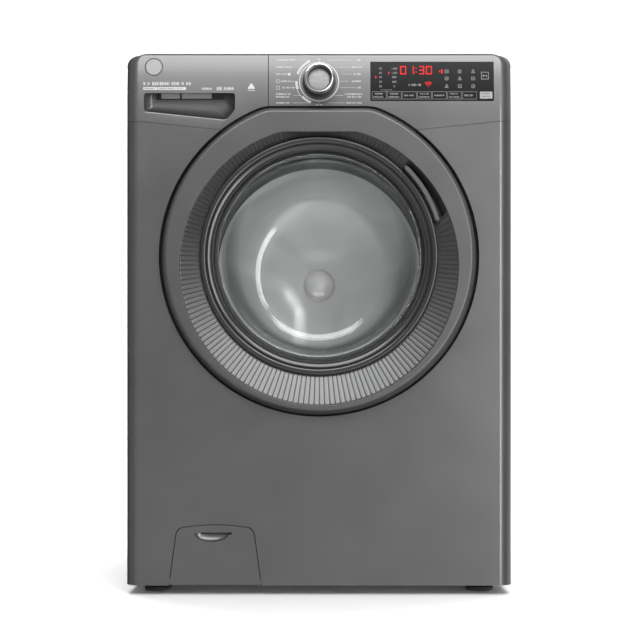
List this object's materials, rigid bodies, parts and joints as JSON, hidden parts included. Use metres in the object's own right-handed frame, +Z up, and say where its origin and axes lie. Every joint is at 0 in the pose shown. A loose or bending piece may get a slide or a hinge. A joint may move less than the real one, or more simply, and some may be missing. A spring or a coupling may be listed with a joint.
{
  "type": "front load washing machine",
  "caption": "Free-standing front-loading washing machine with a graphite cabinet, round ribbed door, glass bowl, detergent drawer, programme knob and touch display.",
  "frame": {"origin": "on the floor under the middle of the machine's box", "axes": "+Z up, the front faces -Y, +X to the right seen from the front"},
  "size_m": [0.6, 0.58, 0.84],
  "materials": {
    "graphite_paint": "satin metallic graphite paint",
    "graphite_plastic": "satin metallic graphite plastic",
    "dark_plastic": "fine-grained dark plastic",
    "black_gloss": "glossy black",
    "chrome": "polished",
    "steel": "brushed stainless steel",
    "cast_aluminium": "as cast",
    "zinc_steel": "galvanised sheet",
    "white_plastic": "moulded",
    "grey_plastic": "moulded",
    "concrete": "cast concrete",
    "seal_rubber": "soft matt rubber",
    "black_rubber": "matt rubber",
    "glass": "clear pressed glass",
    "board": "printed circuit board",
    "silver_key": "silver lacquer"
  },
  "bodies": {
    "cabinet": {"base_tray": "grey_plastic", "side_panel_left": "graphite_paint", "side_panel_right": "graphite_paint", "rear_panel": "zinc_steel", "rear_cover": "zinc_steel", "front_panel": "graphite_paint", "top_plate": "graphite_plastic", "control_panel": "graphite_plastic", "display_window": "black_gloss", "control_board": "board", "drawer_housing": "white_plastic", "inlet_valve": "white_plastic", "mains_gland": "black_rubber", "pump_body": "grey_plastic", "drain_pipe": "grey_plastic", "sump_hose": "black_rubber", "fill_hose": "black_rubber", "door_lock": "white_plastic", "hinge_bracket": "zinc_steel", "door_seal": "seal_rubber", "damper_cylinder_left": "grey_plastic", "damper_cylinder_right": "grey_plastic", "spring_left": "steel", "spring_right": "steel"},
    "tub": {"damper_rod_left": "steel", "damper_rod_right": "steel", "tub_front": "white_plastic", "tub_rear": "white_plastic", "counterweight": "concrete", "heater": "steel", "bearing_front": "steel", "bearing_rear": "steel", "motor_body": "cast_aluminium", "drive_belt": "black_rubber"},
    "drum": {"drum_shell": "steel", "drum_front": "steel", "drum_back": "steel", "drum_paddle_1": "white_plastic", "drum_paddle_2": "white_plastic", "drum_paddle_3": "white_plastic", "drum_spider": "cast_aluminium", "drum_pulley": "cast_aluminium"},
    "motor_rotor": {"motor_pulley": "steel"},
    "door": {"door_frame": "graphite_plastic", "door_ribbed_ring": "graphite_plastic", "door_bezel": "black_gloss", "door_glass": "glass", "door_inner_frame": "dark_plastic"},
    "handle": {"door_handle": "graphite_plastic", "latch_hook": "zinc_steel"},
    "drawer": {"drawer_front": "graphite_plastic", "drawer_tray": "white_plastic"},
    "knob": {"programme_knob": "chrome"},
    "key": {"start_key": "silver_key"},
    "flap": {"filter_flap": "graphite_paint"},
    "cap": {"filter_cap": "dark_plastic"},
    "foot_front_left": {"foot_front_left": "black_rubber"},
    "foot_front_right": {"foot_front_right": "black_rubber"},
    "foot_rear_left": {"foot_rear_left": "black_rubber"},
    "foot_rear_right": {"foot_rear_right": "black_rubber"}
  },
  "joints": [
    {"name": "tub_bounce", "type": "slide", "parent": "cabinet", "child": "tub", "axis": [0, 0, 1], "range_m": [-0.008, 0.008], "stiffness_N_per_m": 60000, "springref_m": 0.00462, "deforming": ["spring_left", "spring_right", "door_seal", "sump_hose", "fill_hose"]},
    {"name": "drum_spin", "type": "hinge", "parent": "tub", "child": "drum", "pos_m": [0, 0.18, 0.508], "axis": [0, 1, 0], "continuous": true},
    {"name": "motor_spin", "type": "hinge", "parent": "tub", "child": "motor_rotor", "pos_m": [0.07, 0.2, 0.165], "axis": [0, 1, 0], "continuous": true},
    {"name": "door_swing", "type": "hinge", "parent": "cabinet", "child": "door", "pos_m": [-0.23, -0.276, 0.5247], "axis": [0, 0, -1], "range_deg": [0, 150]},
    {"name": "handle_pull", "type": "hinge", "parent": "door", "child": "handle", "pos_m": [0.15943, -0.262, 0.6205], "axis": [0.515, 0, -0.8572], "range_deg": [0, 10], "stiffness_Nm_per_rad": 2, "springref_deg": -8.59},
    {"name": "drawer_slide", "type": "slide", "parent": "cabinet", "child": "drawer", "axis": [0, -1, 0], "range_m": [0, 0.19]},
    {"name": "programme_turn", "type": "hinge", "parent": "cabinet", "child": "knob", "pos_m": [0, -0.27, 0.796], "axis": [0, 1, 0], "continuous": true},
    {"name": "start_press", "type": "slide", "parent": "cabinet", "child": "key", "axis": [0, 1, 0], "range_m": [0, 0.0015], "stiffness_N_per_m": 800, "springref_m": -0.001},
    {"name": "flap_swing", "type": "hinge", "parent": "cabinet", "child": "flap", "pos_m": [-0.161, -0.257, 0.0215], "axis": [1, 0, 0], "range_deg": [0, 85]},
    {"name": "cap_turn", "type": "hinge", "parent": "cabinet", "child": "cap", "pos_m": [-0.16, -0.2, 0.066], "axis": [0, -1, 0], "range_deg": [0, 90]},
    {"name": "foot_front_left_screw", "type": "slide", "parent": "cabinet", "child": "foot_front_left", "axis": [0, 0, -1], "range_m": [0, 0.015]},
    {"name": "foot_front_right_screw", "type": "slide", "parent": "cabinet", "child": "foot_front_right", "axis": [0, 0, -1], "range_m": [0, 0.015]},
    {"name": "foot_rear_left_screw", "type": "slide", "parent": "cabinet", "child": "foot_rear_left", "axis": [0, 0, -1], "range_m": [0, 0.015]},
    {"name": "foot_rear_right_screw", "type": "slide", "parent": "cabinet", "child": "foot_rear_right", "axis": [0, 0, -1], "range_m": [0, 0.015]}
  ],
  "couplings": [
    {"joint": "motor_spin", "follows": "drum_spin", "ratio": 13.5}
  ]
}
